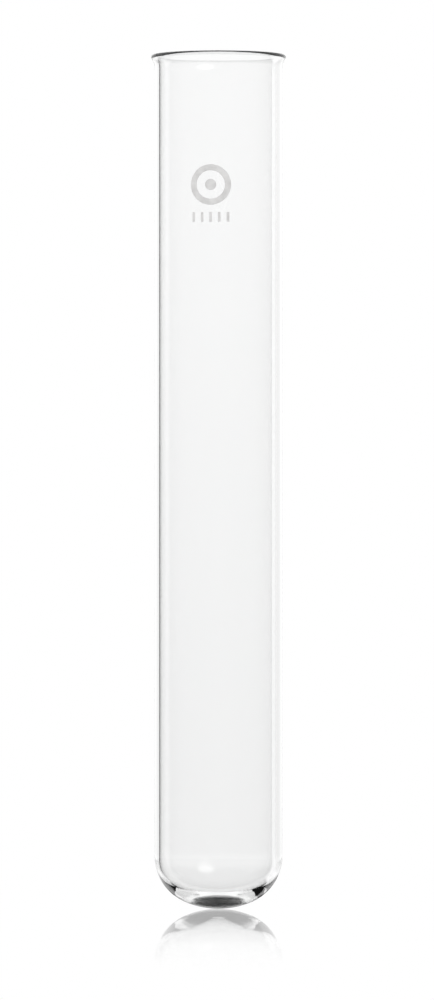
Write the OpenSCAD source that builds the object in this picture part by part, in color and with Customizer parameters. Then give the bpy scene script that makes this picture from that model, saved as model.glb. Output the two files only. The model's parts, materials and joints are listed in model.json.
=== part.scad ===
// Laboratory test tube: one piece of borosilicate glass with a flared, fire-polished rim and a closed
// round bottom, with a small enamel mark fused to its outside.
// Origin: the lowest point of the round bottom, on the axis. +Z runs up to the mouth, -Y is the front.

/* [Tube] */
// Outer diameter of the straight body
body_d = 30; // [26:0.5:36]
// Overall height, from the lowest point of the bottom to the top of the rim
height = 200; // [150:5:250]
// Wall thickness of the straight body
wall = 1.3; // [1:0.1:1.8]

/* [Rim] */
// Distance that the rim stands out past the body, all round
rim_out = 0.8; // [0.5:0.1:1.4]

/* [Round bottom] */
// Outer radius of the flat crown, the middle of the bottom
crown_r = 20; // [19:0.5:22]
// Outer radius of the corner that joins the crown to the body
corner_r = 12; // [11:0.5:12.5]
// Thickness of the glass on the axis
bottom_t = 1.8; // [1.6:0.1:3]
// Radius of the crown inside the tube
bore_crown_r = 18.5; // [18:0.5:20]
// Radius of the corner inside the tube
bore_corner_r = 8; // [7:0.5:9]

/* [Enamel mark] */
// Thickness of the enamel
enamel_t = 0.05; // [0.03:0.01:0.1]
// Turn of the mark about the tube, from the front towards -X
mark_turn = 7; // [0:1:30]
// Depth of the ring's centre below the top of the rim
ring_drop = 31.1; // [20:0.1:100]
// Outer diameter of the ring
ring_d = 9.4; // [6:0.1:12]
// Width of the ring's line
ring_line = 1.4; // [0.6:0.1:2]
// Diameter of the dot in the ring's centre
dot_d = 2.6; // [1:0.1:3]
// Number of upright dashes in the row under the ring
dash_count = 5; // [3:1:7]
// Width of one dash
dash_w = 0.6; // [0.4:0.1:1.4]
// Height of one dash
dash_h = 2.2; // [0.6:0.1:2.4]
// Distance from one dash to the next
dash_pitch = 2; // [1.8:0.1:2.4]
// Depth of the row of dashes below the ring's centre
dash_drop = 7.5; // [7.5:0.1:10]

/* [Hidden] */
$fn = 96;

body_r = body_d / 2;
bore_r = body_r - wall;

// The rim is the wall itself, bent outwards about a circle and closed with a full round edge.
// It turns through the small angle of a 3-4-5 triangle, whose sine is 3/5 and cosine 4/5.
bend_angle = atan2(3, 4);
edge_r = wall / 2;
bend_mid_r = 5 * rim_out;
flare_r = bend_mid_r - edge_r;
bend_x = body_r + flare_r;
bend_z = height - edge_r - bend_mid_r * 3 / 5;

ring_z = height - ring_drop;

// Overlap past a face that a cut or a joint has to clear
spare = 1;
// Length of straight wall made with the rim, half of it shared with the body
neck = 2;

// Height of a dome of radius r, from the lowest point of its crown to the end of its corner
function dome_h(r, crown, corner) = crown - sqrt(pow(crown - corner, 2) - pow(r - corner, 2));

// Radius from the axis at which the crown runs into the corner
function crown_edge(r, crown, corner) = crown * (r - corner) / (crown - corner);

// Half outline of a closed tube end: crown, corner and straight side up to top, lowest point at z = 0
module round_end(r, crown, corner, top) {
    h = dome_h(r, crown, corner);
    edge = crown_edge(r, crown, corner);
    intersection() {
        translate([0, crown]) circle(r = crown);
        square([edge, h]);
    }
    intersection() {
        translate([r - corner, h]) circle(r = corner);
        translate([edge, 0]) square([r - edge, h]);
    }
    translate([0, h]) square([r, top - h]);
}

// Half outline of the flared wall, its rounded edge and the neck under it
module flared_rim() {
    reach = 2 * (flare_r + wall);
    translate([bend_x, bend_z]) {
        difference() {
            circle(r = flare_r + wall);
            circle(r = flare_r);
            translate([-reach, -reach]) square([2 * reach, reach]);
            rotate(-bend_angle) translate([-reach, 0]) square([2 * reach, reach]);
        }
        translate([-flare_r - wall, -neck]) square([wall, neck]);
        rotate(-bend_angle) translate([-bend_mid_r, 0]) intersection() {
            circle(r = edge_r);
            translate([-wall, 0]) square([2 * wall, wall]);
        }
    }
}

module glass_tube() {
    color([0.86, 0.9, 0.9, 0.45]) rotate_extrude() {
        difference() {
            round_end(body_r, crown_r, corner_r, bend_z - neck / 2);
            translate([0, bottom_t])
                round_end(bore_r, bore_crown_r, bore_corner_r, bend_z - bottom_t);
        }
        flared_rim();
    }
}

// A thin layer on the outside of the body, in the shape of the flat outline given as its child.
// The outline's x runs round the front of the tube and its y is height above the ring's centre.
module enamel() {
    color([0.8, 0.8, 0.79]) rotate(-mark_turn) intersection() {
        translate([0, 0, ring_z - ring_d - dash_drop]) difference() {
            cylinder(r = body_r + enamel_t, h = 2 * (ring_d + dash_drop));
            translate([0, 0, -spare]) cylinder(r = body_r, h = 2 * (ring_d + dash_drop + spare));
        }
        translate([0, 0, ring_z]) rotate([90, 0, 0]) linear_extrude(height = body_d) children();
    }
}

module enamel_ring() {
    enamel() difference() {
        circle(d = ring_d);
        circle(d = ring_d - 2 * ring_line);
    }
}

module enamel_dot() {
    enamel() circle(d = dot_d);
}

module enamel_dashes() {
    enamel() for (i = [0 : dash_count - 1])
        translate([(i - (dash_count - 1) / 2) * dash_pitch, -dash_drop])
            square([dash_w, dash_h], center = true);
}

glass_tube();
enamel_ring();
enamel_dot();
enamel_dashes();
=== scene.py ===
import json
import math

import bmesh
import bpy
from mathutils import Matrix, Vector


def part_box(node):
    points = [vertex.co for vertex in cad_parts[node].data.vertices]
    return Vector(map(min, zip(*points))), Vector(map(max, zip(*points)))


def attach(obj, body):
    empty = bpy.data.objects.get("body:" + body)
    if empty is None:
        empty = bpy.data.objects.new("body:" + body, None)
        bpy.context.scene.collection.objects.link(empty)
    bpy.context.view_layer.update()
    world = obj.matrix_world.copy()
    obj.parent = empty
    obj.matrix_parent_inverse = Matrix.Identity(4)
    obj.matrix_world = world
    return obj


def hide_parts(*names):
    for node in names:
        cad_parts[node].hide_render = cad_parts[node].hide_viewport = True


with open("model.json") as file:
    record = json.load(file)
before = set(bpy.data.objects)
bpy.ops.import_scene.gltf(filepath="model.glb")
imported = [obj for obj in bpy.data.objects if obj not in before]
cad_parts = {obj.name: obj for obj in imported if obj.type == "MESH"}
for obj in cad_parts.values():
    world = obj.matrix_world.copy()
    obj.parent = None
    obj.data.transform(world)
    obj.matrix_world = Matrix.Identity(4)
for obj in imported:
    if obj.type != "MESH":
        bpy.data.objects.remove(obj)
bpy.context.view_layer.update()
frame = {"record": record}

WHITE = (1.0, 1.0, 1.0, 1.0)

# Sizes of the glass that the frame's boxes and mounts don't give, in metres
FLARE_R = 0.00335
CROWN_R = 0.020
CORNER_R = 0.012
BOTTOM_T = 0.0018
BORE_CROWN_R = 0.0185
BORE_CORNER_R = 0.008

# Fineness of the mesh of the glass
SEGMENTS = 256
ARC_STEP = math.radians(1.5)
ARC_LEAST = 4
BODY_RINGS = 40

# Sizes of the mark, in metres; its places come from the boxes of its nodes
MARK_TURN = math.radians(-7)
RING_LINE = 0.0014
DASH_W = 0.0006
DASH_PITCH = 0.0020
DASH_COUNT = 5
DASH_CORNER = 0.00008
ENAMEL_GAP = 0.000004
SHOULDER = 0.00003
PATCH_FILLS = (0.25, 0.5, 0.75, 0.92)
RING_STEPS = 6
RING_POINTS = 96
DOT_POINTS = 48
DASH_POINTS = 32

# Glass. Texture scales are per metre and depths in metres.
GLASS_IOR = 1.473
GLASS_TINT = (0.994, 0.998, 0.997, 1.0)
GLASS_ROUGHNESS = (0.0, 0.004)
DRAW_BAND = (0.35, 0.75)
DRAW_STRETCH = (1.0, 1.0, 0.02)
DRAW_SCALE = 900.0
DRAW_DETAIL = 3.0
DRAW_SHARE = 0.03
DRAW_DEPTH = 0.000004
SWELL_SCALE = 60.0
SWELL_DETAIL = 1.0

# Enamel
ENAMEL_DARK = (0.62, 0.615, 0.61, 1.0)
ENAMEL_LIGHT = (0.74, 0.735, 0.73, 1.0)
ENAMEL_ROUGHNESS = (0.45, 0.7)
GRAIN_SCALE = 9000.0
GRAIN_DETAIL = 4.0
GRAIN_BAND = (0.3, 0.7)
GRAIN_SHARE = 0.4
GRAIN_DEPTH = 0.00001
GRAIN_STRENGTH = 0.5
PATCH_SCALE = 700.0
PATCH_DETAIL = 2.0
MOTTLE_BAND = (0.35, 0.65)

# Camera: level, square to the front, far enough away for the slim ellipses of the mouth and the bottom
CAMERA_DISTANCE = 1.546
CAMERA_HEIGHT = 0.0957
CAMERA_SHIFT_X = -0.00034
VIEW_HEIGHT = 0.23425
SENSOR = 36.0
CLIP = (0.05, 50.0)

# Light. Directions are in degrees: azimuth from +Y, the back, towards +X, and elevation from level.
# A name that ends in SOFT is the distance over which an edge fades, in degrees.
BOUNCES = 12
GLOW_SPAN = (-5.0, 5.0)
GLOW_LEVELS = (0.96, 1.06)
NEAR_SPAN = (4.0, 11.0)
NEAR_GAIN = 1.06
FAR_BAND = (15.0, 62.0)
FAR_SOFT = 9.0
FAR_HEIGHTS = (-12.0, 20.0)
FAR_HEIGHTS_SOFT = 4.0
FAR_GAIN = 0.80
CARD = (-56.0, -28.0)
CARD_SOFT = 1.5
CARD_SLANT = 0.5
CARD_HEIGHTS = (-14.0, 30.0)
CARD_HEIGHTS_SOFT = 4.0
CARD_LEVEL = 0.02
WINDOW = (-36.5, 60.0)
WINDOW_SOFT = 2.0
LEFT_LIGHT = (-130.0, -72.0)
LEFT_SOFT = 4.0
LEFT_LEVEL = 0.8
RIGHT_LIGHT = (90.0, 135.0)
RIGHT_SOFT = 8.0
RIGHT_LEVEL = 0.35
LOW_SPAN = (9.0, 16.0)
LOW_LIMITS = (-6.0, -32.0)
LOW_SOFT = 4.0
GUIDED_LIMIT = -16.0
DEEP_LIMIT = -60.0
TOP_EDGE = (30.0, 40.0)
DARK_LEVEL = 0.008
OUTSIDE_SPAN = (-7.0, -4.0)
LAMP_DIRECTION = (0.40, -0.75, 0.527)
LAMP_SPAN = (0.945, 0.99)
LAMP_LEVEL = 2.2

# How many surfaces a ray has passed through, or been mirrored by, where its kind changes
FIRST = 0.5
ONE_WALL = 2.5
GUIDED = 4.5

# Floor
FLOOR_R = 6.0
FLOOR_SEGMENTS = 64
FLOOR_IOR = 1.5
FLOOR_GAP = 0.00002
MIRROR_SPAN = (0.030, 0.204)
MIRROR_SHARE = 0.85
MIRROR_ROUGHNESS = 0.02


def mount_radius(name):
    """Radius of one of the record's mounts, in metres."""
    for mount in frame["record"]["mounts"]:
        if mount["name"] == name:
            return mount["dims"]["r_mm"] / 1000
    raise ValueError(name)


def arc(centre, radius, start, end):
    """Points (r, z) on an arc from angle start to angle end, both in radians."""
    steps = max(ARC_LEAST, math.ceil(abs(end - start) / ARC_STEP))
    points = []
    for i in range(steps + 1):
        angle = start + (end - start) * i / steps
        points.append((centre[0] + radius * math.cos(angle), centre[1] + radius * math.sin(angle)))
    return points


def straight(r, z_from, z_to):
    """Points between the ends of a straight wall, closer together towards its ends."""
    points = []
    for i in range(1, BODY_RINGS):
        t = (1 - math.cos(math.pi * i / BODY_RINGS)) / 2
        points.append((r, z_from + (z_to - z_from) * t))
    return points


def dome(r, crown, corner, z):
    """Points from the lowest point of a closed end at height z up to its straight wall."""
    height = crown - math.sqrt((crown - corner) ** 2 - (r - corner) ** 2)
    turn = math.asin((r - corner) / (crown - corner))
    down = -math.pi / 2
    crown_arc = arc((0, z + crown), crown, down, down + turn)
    corner_arc = arc((r - corner, z + height), corner, down + turn, 0)
    return crown_arc + corner_arc[1:]


def glass_profile(body_r, bore_r, rim_r, height):
    """Closed outline of the glass, from its lowest point round the rim to the bottom of the bore."""
    wall = body_r - bore_r
    edge_r = wall / 2
    bend_x = body_r + FLARE_R
    mid_r = FLARE_R + edge_r
    bend = math.acos((bend_x - rim_r + edge_r) / mid_r)
    edge = (bend_x - mid_r * math.cos(bend), height - edge_r)
    bend_z = edge[1] - mid_r * math.sin(bend)
    outside = dome(body_r, CROWN_R, CORNER_R, 0)
    inside = dome(bore_r, BORE_CROWN_R, BORE_CORNER_R, BOTTOM_T)
    flare = arc((bend_x, bend_z), FLARE_R, math.pi, math.pi - bend)
    lip = arc(edge, edge_r, -bend, math.pi - bend)
    throat = arc((bend_x, bend_z), FLARE_R + wall, math.pi - bend, math.pi)
    up = straight(body_r, outside[-1][1], bend_z)
    down = straight(bore_r, bend_z, inside[-1][1])
    return outside + up + flare + lip[1:-1] + throat + down + inside[::-1]


def lathe(name, profile):
    """A solid turned from a profile whose two ends are on the axis."""
    bm = bmesh.new()
    rings = []
    for r, z in profile[1:-1]:
        ring = []
        for i in range(SEGMENTS):
            angle = 2 * math.pi * i / SEGMENTS
            ring.append(bm.verts.new((r * math.sin(angle), -r * math.cos(angle), z)))
        rings.append(ring)
    first = bm.verts.new((0, 0, profile[0][1]))
    last = bm.verts.new((0, 0, profile[-1][1]))
    for i in range(SEGMENTS):
        j = (i + 1) % SEGMENTS
        bm.faces.new((first, rings[0][j], rings[0][i]))
        for a, b in zip(rings, rings[1:]):
            bm.faces.new((a[i], a[j], b[j], b[i]))
        bm.faces.new((last, rings[-1][i], rings[-1][j]))
    return to_object(name, bm)


def to_object(name, bm):
    """A smooth-shaded object from a bmesh, which it frees."""
    bmesh.ops.recalc_face_normals(bm, faces=bm.faces)
    mesh = bpy.data.meshes.new(name)
    bm.to_mesh(mesh)
    bm.free()
    for face in mesh.polygons:
        face.use_smooth = True
    piece = bpy.data.objects.new(name, mesh)
    bpy.context.scene.collection.objects.link(piece)
    return piece


def on_glass(x, z, lift):
    """The point of the mark at x across its front and height z, lifted off the glass by lift."""
    r = body_r + lift
    y = -math.sqrt(r * r - x * x)
    c, s = math.cos(MARK_TURN), math.sin(MARK_TURN)
    return (x * c - y * s, x * s + y * c, z)


def loops_object(name, groups):
    """One object from groups of loops. Each group is (loops, closed).

    Closed joins a group's last loop to its first. Otherwise a face fills each of the two.
    """
    bm = bmesh.new()
    for loops, closed in groups:
        rows = [[bm.verts.new(p) for p in loop] for loop in loops]
        pairs = list(zip(rows, rows[1:]))
        if closed:
            pairs.append((rows[-1], rows[0]))
        for a, b in pairs:
            n = len(a)
            for i in range(n):
                bm.faces.new((a[i], a[(i + 1) % n], b[(i + 1) % n], b[i]))
        if not closed:
            bm.faces.new(rows[0])
            bm.faces.new(rows[-1])
    return to_object(name, bm)


def layer_profile(width, thickness):
    """Section of a printed layer: pairs of distance from one edge and lift, from that edge to the other."""
    offsets = [SHOULDER]
    for i in range(RING_STEPS + 1):
        offsets.append(SHOULDER * 2 + (width - SHOULDER * 4) * i / RING_STEPS)
    offsets.append(width - SHOULDER)
    return [(0, ENAMEL_GAP)] + [(offset, thickness) for offset in offsets] + [(width, ENAMEL_GAP)]


def outline(shape, centre, inset, count):
    """Points of a circle (radius,) or a rectangle with round corners (half width, half height, corner)."""
    points = []
    if len(shape) == 1:
        for i in range(count):
            angle = 2 * math.pi * i / count
            r = shape[0] - inset
            points.append((centre[0] + r * math.cos(angle), centre[1] + r * math.sin(angle)))
        return points
    half_w, half_h, corner = shape
    scale = 1 - inset / min(half_w, half_h)
    for i in range(count):
        angle = 2 * math.pi * (i + 0.5) / count
        quarter_x = math.copysign(half_w - corner, math.cos(angle))
        quarter_z = math.copysign(half_h - corner, math.sin(angle))
        x = (quarter_x + corner * math.cos(angle)) * scale
        z = (quarter_z + corner * math.sin(angle)) * scale
        points.append((centre[0] + x, centre[1] + z))
    return points


def solid_patch(shape, centre, thickness, count):
    """Loops of a filled printed patch: up its edge, over its top to the middle, and back under it."""
    size = min(shape[:2])
    fills = [size * fill for fill in PATCH_FILLS]
    loops = []
    for inset in reversed(fills):
        loops.append([on_glass(x, z, ENAMEL_GAP) for x, z in outline(shape, centre, inset, count)])
    loops.append([on_glass(x, z, ENAMEL_GAP) for x, z in outline(shape, centre, 0, count)])
    for inset in [SHOULDER, SHOULDER * 2] + fills:
        loops.append([on_glass(x, z, thickness) for x, z in outline(shape, centre, inset, count)])
    return loops, False


def ring_patch(radius, line, centre, thickness, count):
    """Loops of a printed ring: over its top from the outer edge to the inner edge, and back under it."""
    loops = []
    for inset, lift in layer_profile(line, thickness):
        loops.append([on_glass(x, z, lift) for x, z in outline((radius,), centre, inset, count)])
    for k in (3, 2, 1):
        inset = line * k / 4
        loops.append([on_glass(x, z, ENAMEL_GAP) for x, z in outline((radius,), centre, inset, count)])
    return loops, True


def mark_box(node):
    """Middle height and height of a mark's node."""
    low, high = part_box(node)
    return (low.z + high.z) / 2, high.z - low.z


def make_glass():
    """The tube, in place of its CAD node: the same shape in finer steps. It casts no shadow, being clear."""
    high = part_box("glass_tube")[1]
    glass = lathe("clear_glass_tube", glass_profile(body_r, bore_r, high.x, high.z))
    glass.visible_shadow = False
    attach(glass, "root")
    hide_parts("glass_tube")
    glass.data.materials.append(glass_material())


def make_mark():
    """The printed ring, dot and dashes, each in place of its CAD node."""
    thickness = enamel_thickness()
    z, height = mark_box("enamel_ring")
    band = ring_patch(height / 2, RING_LINE, (0, z), thickness, RING_POINTS)
    ring = loops_object("printed_ring", [band])
    z, height = mark_box("enamel_dot")
    dot = loops_object("printed_dot", [solid_patch((height / 2,), (0, z), thickness, DOT_POINTS)])
    z, height = mark_box("enamel_dashes")
    shape = (DASH_W / 2, height / 2, DASH_CORNER)
    row = []
    for i in range(DASH_COUNT):
        x = (i - (DASH_COUNT - 1) / 2) * DASH_PITCH
        row.append(solid_patch(shape, (x, z), thickness, DASH_POINTS))
    dashes = loops_object("printed_dashes", row)
    enamel = enamel_material()
    for piece, node in ((ring, "enamel_ring"), (dot, "enamel_dot"), (dashes, "enamel_dashes")):
        piece.data.materials.append(enamel)
        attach(piece, "root")
        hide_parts(node)


def enamel_thickness():
    """How far the mark stands out of the glass, from the box of the ring's node."""
    return -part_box("enamel_ring")[0].y - body_r


def new_material(name):
    """A material with its node tree and its one shader."""
    material = bpy.data.materials.new(name)
    material.use_nodes = True
    tree = material.node_tree
    return material, tree, tree.nodes["Principled BSDF"]


def glass_material():
    """Clear borosilicate glass, with the faint draw lines and unevenness of tube drawn by machine."""
    material, tree, shader = new_material("clear_glass")
    shader.inputs["IOR"].default_value = GLASS_IOR
    shader.inputs["Transmission Weight"].default_value = 1.0
    n = Nodes(tree)
    place = n.new("ShaderNodeTexCoord").outputs["Object"]
    stretched = n.new("ShaderNodeMapping", {"Vector": place, "Scale": DRAW_STRETCH}).outputs[0]
    lines = n.noise(stretched, DRAW_SCALE, DRAW_DETAIL)
    swell = n.noise(place, SWELL_SCALE, SWELL_DETAIL)
    height = n.math("MULTIPLY_ADD", lines, DRAW_SHARE, swell)
    n.put(shader.inputs["Normal"], n.bump(height, DRAW_DEPTH, 1.0))
    n.put(shader.inputs["Base Color"], n.mix(swell, WHITE, GLASS_TINT))
    n.put(shader.inputs["Roughness"], n.ramp(lines, *DRAW_BAND, *GLASS_ROUGHNESS))
    return material


def enamel_material():
    """Fired grey enamel: a matt layer of fine grains, mottled where the print is thinner."""
    material, tree, shader = new_material("grey_enamel")
    n = Nodes(tree)
    place = n.new("ShaderNodeTexCoord").outputs["Object"]
    grain = n.noise(place, GRAIN_SCALE, GRAIN_DETAIL)
    patches = n.noise(place, PATCH_SCALE, PATCH_DETAIL)
    mottle = n.math("MULTIPLY_ADD", grain, GRAIN_SHARE, n.math("MULTIPLY", patches, 1 - GRAIN_SHARE))
    tint = n.mix(n.ramp(mottle, *MOTTLE_BAND), ENAMEL_DARK, ENAMEL_LIGHT)
    n.put(shader.inputs["Base Color"], tint)
    n.put(shader.inputs["Roughness"], n.ramp(grain, *GRAIN_BAND, *ENAMEL_ROUGHNESS))
    n.put(shader.inputs["Normal"], n.bump(grain, GRAIN_DEPTH, GRAIN_STRENGTH))
    return material


def make_camera():
    """A level camera whose view is VIEW_HEIGHT tall at the tube's axis."""
    data = bpy.data.cameras.new("camera")
    data.sensor_width = SENSOR
    data.lens = SENSOR * CAMERA_DISTANCE / VIEW_HEIGHT
    data.clip_start, data.clip_end = CLIP
    camera = bpy.data.objects.new("camera", data)
    camera.location = (CAMERA_SHIFT_X, -CAMERA_DISTANCE, CAMERA_HEIGHT)
    camera.rotation_euler = (math.pi / 2, 0, 0)
    bpy.context.scene.collection.objects.link(camera)
    bpy.context.scene.camera = camera


class Nodes:
    """Short calls that add nodes to a tree and link them. An argument is a number, a tuple or a socket."""

    def __init__(self, tree):
        self.tree = tree

    def put(self, socket, value):
        """Link a socket to an input, or set the input to a value."""
        if isinstance(value, bpy.types.NodeSocket):
            self.tree.links.new(value, socket)
        else:
            socket.default_value = value

    def new(self, kind, inputs=(), **settings):
        """A node with its settings, and its inputs by name or number."""
        node = self.tree.nodes.new(kind)
        for name, value in settings.items():
            setattr(node, name, value)
        for key, value in dict(inputs).items():
            self.put(node.inputs[key], value)
        return node

    def math(self, operation, *values):
        node = self.new("ShaderNodeMath", enumerate(values), operation=operation)
        return node.outputs[0]

    def noise(self, place, scale, detail):
        inputs = {"Vector": place, "Scale": scale, "Detail": detail}
        return self.new("ShaderNodeTexNoise", inputs).outputs[0]

    def bump(self, height, depth, strength):
        """A normal for a height from 0 to 1 that stands depth metres."""
        inputs = {"Strength": strength, "Distance": depth, "Height": height}
        return self.new("ShaderNodeBump", inputs).outputs[0]

    def mix(self, share, first, second):
        """The first colour where share is 0, the second where it is 1."""
        inputs = {0: share, 6: first, 7: second}
        return self.new("ShaderNodeMix", inputs, data_type="RGBA").outputs[2]

    def blend(self, share, low, high):
        """low where share is 0, high where it is 1."""
        inputs = {0: share, 3: low, 4: high}
        return self.new("ShaderNodeMapRange", inputs).outputs[0]

    def band(self, value, start, end, soft):
        """1 from start to end, 0 outside, and smooth over the distance soft within each end."""
        rise = self.ramp(value, start, start + soft)
        return self.math("MULTIPLY", rise, self.ramp(value, end - soft, end, 1.0, 0.0))

    def ramp(self, value, start, end, low=0.0, high=1.0):
        """low up to start, high from end, and smooth between."""
        inputs = {0: value, 1: start, 2: end, 3: low, 4: high}
        return self.new("ShaderNodeMapRange", inputs, interpolation_type="SMOOTHSTEP").outputs[0]


def make_world():
    """A white studio. The camera, matt surfaces and the outside of the glass see plain white.

    Rays that only bend see a bright backdrop with one thin dark card at the left. Rays that are mirrored
    inside the glass see the darker room: the backdrop between wide cards, the front and the floor.
    """
    world = bpy.data.worlds.new("studio")
    world.use_nodes = True
    world.cycles.sampling_method = "NONE"
    bpy.context.scene.world = world
    n = Nodes(world.node_tree)
    direction = n.new("ShaderNodeTexCoord").outputs["Generated"]
    parts = n.new("ShaderNodeSeparateXYZ", {0: direction}).outputs
    azimuth = n.math("DEGREES", n.math("ARCTAN2", parts[0], parts[1]))
    elevation = n.math("DEGREES", n.math("ARCSINE", parts[2]))
    backdrop = make_backdrop(n, azimuth, elevation)
    bent = n.math("MULTIPLY", backdrop, make_card(n, azimuth, elevation))
    path = n.new("ShaderNodeLightPath").outputs
    is_guided = n.math("GREATER_THAN", path["Glossy Depth"], GUIDED)
    is_mirrored = n.math("GREATER_THAN", path["Glossy Depth"], FIRST)
    is_matt = n.math("GREATER_THAN", path["Diffuse Depth"], FIRST)
    is_outside = n.math("LESS_THAN", path["Transmission Depth"], FIRST)
    is_once = n.math("LESS_THAN", path["Transmission Depth"], ONE_WALL)
    spread = n.math("ABSOLUTE", azimuth)
    lowest = n.blend(is_once, DEEP_LIMIT, n.ramp(spread, *LOW_SPAN, *LOW_LIMITS))
    lowest = n.blend(is_guided, lowest, GUIDED_LIMIT)
    room = make_room(n, azimuth, elevation, backdrop, is_guided, lowest)
    mirrored = n.math("ADD", room, make_lamp(n, direction))
    seen = n.blend(is_mirrored, bent, mirrored)
    outside = n.math("MULTIPLY", is_outside, n.ramp(elevation, *OUTSIDE_SPAN))
    plain = n.math("MAXIMUM", n.math("MAXIMUM", path["Is Camera Ray"], is_matt), outside)
    background = world.node_tree.nodes["Background"]
    n.put(background.inputs["Color"], n.blend(plain, seen, 1.0))


def make_card(n, azimuth, elevation):
    """What the dark card at the left leaves of the backdrop: CARD_LEVEL on the card, 1 beside it."""
    slanted = n.math("MULTIPLY_ADD", elevation, CARD_SLANT, azimuth)
    heights = n.band(elevation, *CARD_HEIGHTS, CARD_HEIGHTS_SOFT)
    card = n.math("MULTIPLY", n.band(slanted, *CARD, CARD_SOFT), heights)
    return n.math("MULTIPLY_ADD", card, CARD_LEVEL - 1, 1.0)


def make_backdrop(n, azimuth, elevation):
    """The lit backdrop: brighter upwards, brightest a little to both sides and duller beyond that."""
    glow = n.ramp(elevation, *GLOW_SPAN, *GLOW_LEVELS)
    spread = n.math("ABSOLUTE", azimuth)
    near = n.ramp(spread, *NEAR_SPAN, 1.0, NEAR_GAIN)
    heights = n.band(elevation, *FAR_HEIGHTS, FAR_HEIGHTS_SOFT)
    dull = n.math("MULTIPLY", n.band(spread, *FAR_BAND, FAR_SOFT), heights)
    far = n.math("MULTIPLY_ADD", dull, FAR_GAIN - 1, 1.0)
    return n.math("MULTIPLY", glow, n.math("MULTIPLY", near, far))


def make_room(n, azimuth, elevation, backdrop, is_guided, lowest):
    """The backdrop between its dark cards, a light at each side, and nothing lit low down or in front.

    Only light that the wall has guided, mirrored in it many times over, comes from the side lights.
    """
    window = n.math("MULTIPLY", backdrop, n.band(azimuth, *WINDOW, WINDOW_SOFT))
    left = n.math("MULTIPLY", n.band(azimuth, *LEFT_LIGHT, LEFT_SOFT), LEFT_LEVEL)
    right = n.math("MULTIPLY", n.band(azimuth, *RIGHT_LIGHT, RIGHT_SOFT), RIGHT_LEVEL)
    lights = n.math("MULTIPLY_ADD", n.math("ADD", left, right), is_guided, window)
    above = n.ramp(n.math("SUBTRACT", elevation, lowest), 0.0, LOW_SOFT)
    below = n.ramp(elevation, *TOP_EDGE, 1.0, 0.0)
    lit = n.math("MULTIPLY", n.math("MULTIPLY", lights, above), below)
    return n.math("ADD", lit, DARK_LEVEL)


def make_lamp(n, direction):
    """The soft lamp, high at the front, that leaves one highlight in the round bottom."""
    vectors = {0: direction, 1: LAMP_DIRECTION}
    dot = n.new("ShaderNodeVectorMath", vectors, operation="DOT_PRODUCT")
    return n.ramp(dot.outputs["Value"], *LAMP_SPAN, 0.0, LAMP_LEVEL)


def make_floor():
    """A white floor, which mirrors the tube close to it, as polished acrylic does, and fades to plain white."""
    bm = bmesh.new()
    bmesh.ops.create_circle(bm, cap_ends=True, radius=FLOOR_R, segments=FLOOR_SEGMENTS)
    floor = to_object("floor", bm)
    floor.location.z = -FLOOR_GAP
    for ray in ("diffuse", "glossy", "transmission", "shadow"):
        setattr(floor, "visible_" + ray, False)
    material = bpy.data.materials.new("floor")
    material.use_nodes = True
    tree = material.node_tree
    tree.nodes.clear()
    n = Nodes(tree)
    place = n.new("ShaderNodeTexCoord").outputs["Object"]
    distance = n.new("ShaderNodeVectorMath", {0: place}, operation="LENGTH").outputs["Value"]
    near = n.ramp(distance, *MIRROR_SPAN, MIRROR_SHARE, 0.0)
    fresnel = n.new("ShaderNodeFresnel", {"IOR": FLOOR_IOR}).outputs[0]
    share = n.math("MULTIPLY", near, fresnel)
    white = n.new("ShaderNodeEmission", {"Strength": 1.0}).outputs[0]
    mirror = n.new("ShaderNodeBsdfGlossy", {"Color": WHITE, "Roughness": MIRROR_ROUGHNESS}).outputs[0]
    mixed = n.new("ShaderNodeMixShader", {0: share, 1: white, 2: mirror}).outputs[0]
    n.new("ShaderNodeOutputMaterial", {"Surface": mixed})
    floor.data.materials.append(material)


body_r = mount_radius("body_outside")
bore_r = mount_radius("mouth_bore")
make_camera()
make_glass()
make_mark()
make_world()
make_floor()
scene = bpy.context.scene
scene.view_settings.view_transform = "Standard"
scene.cycles.max_bounces = BOUNCES
scene.cycles.glossy_bounces = BOUNCES
scene.cycles.transmission_bounces = BOUNCES
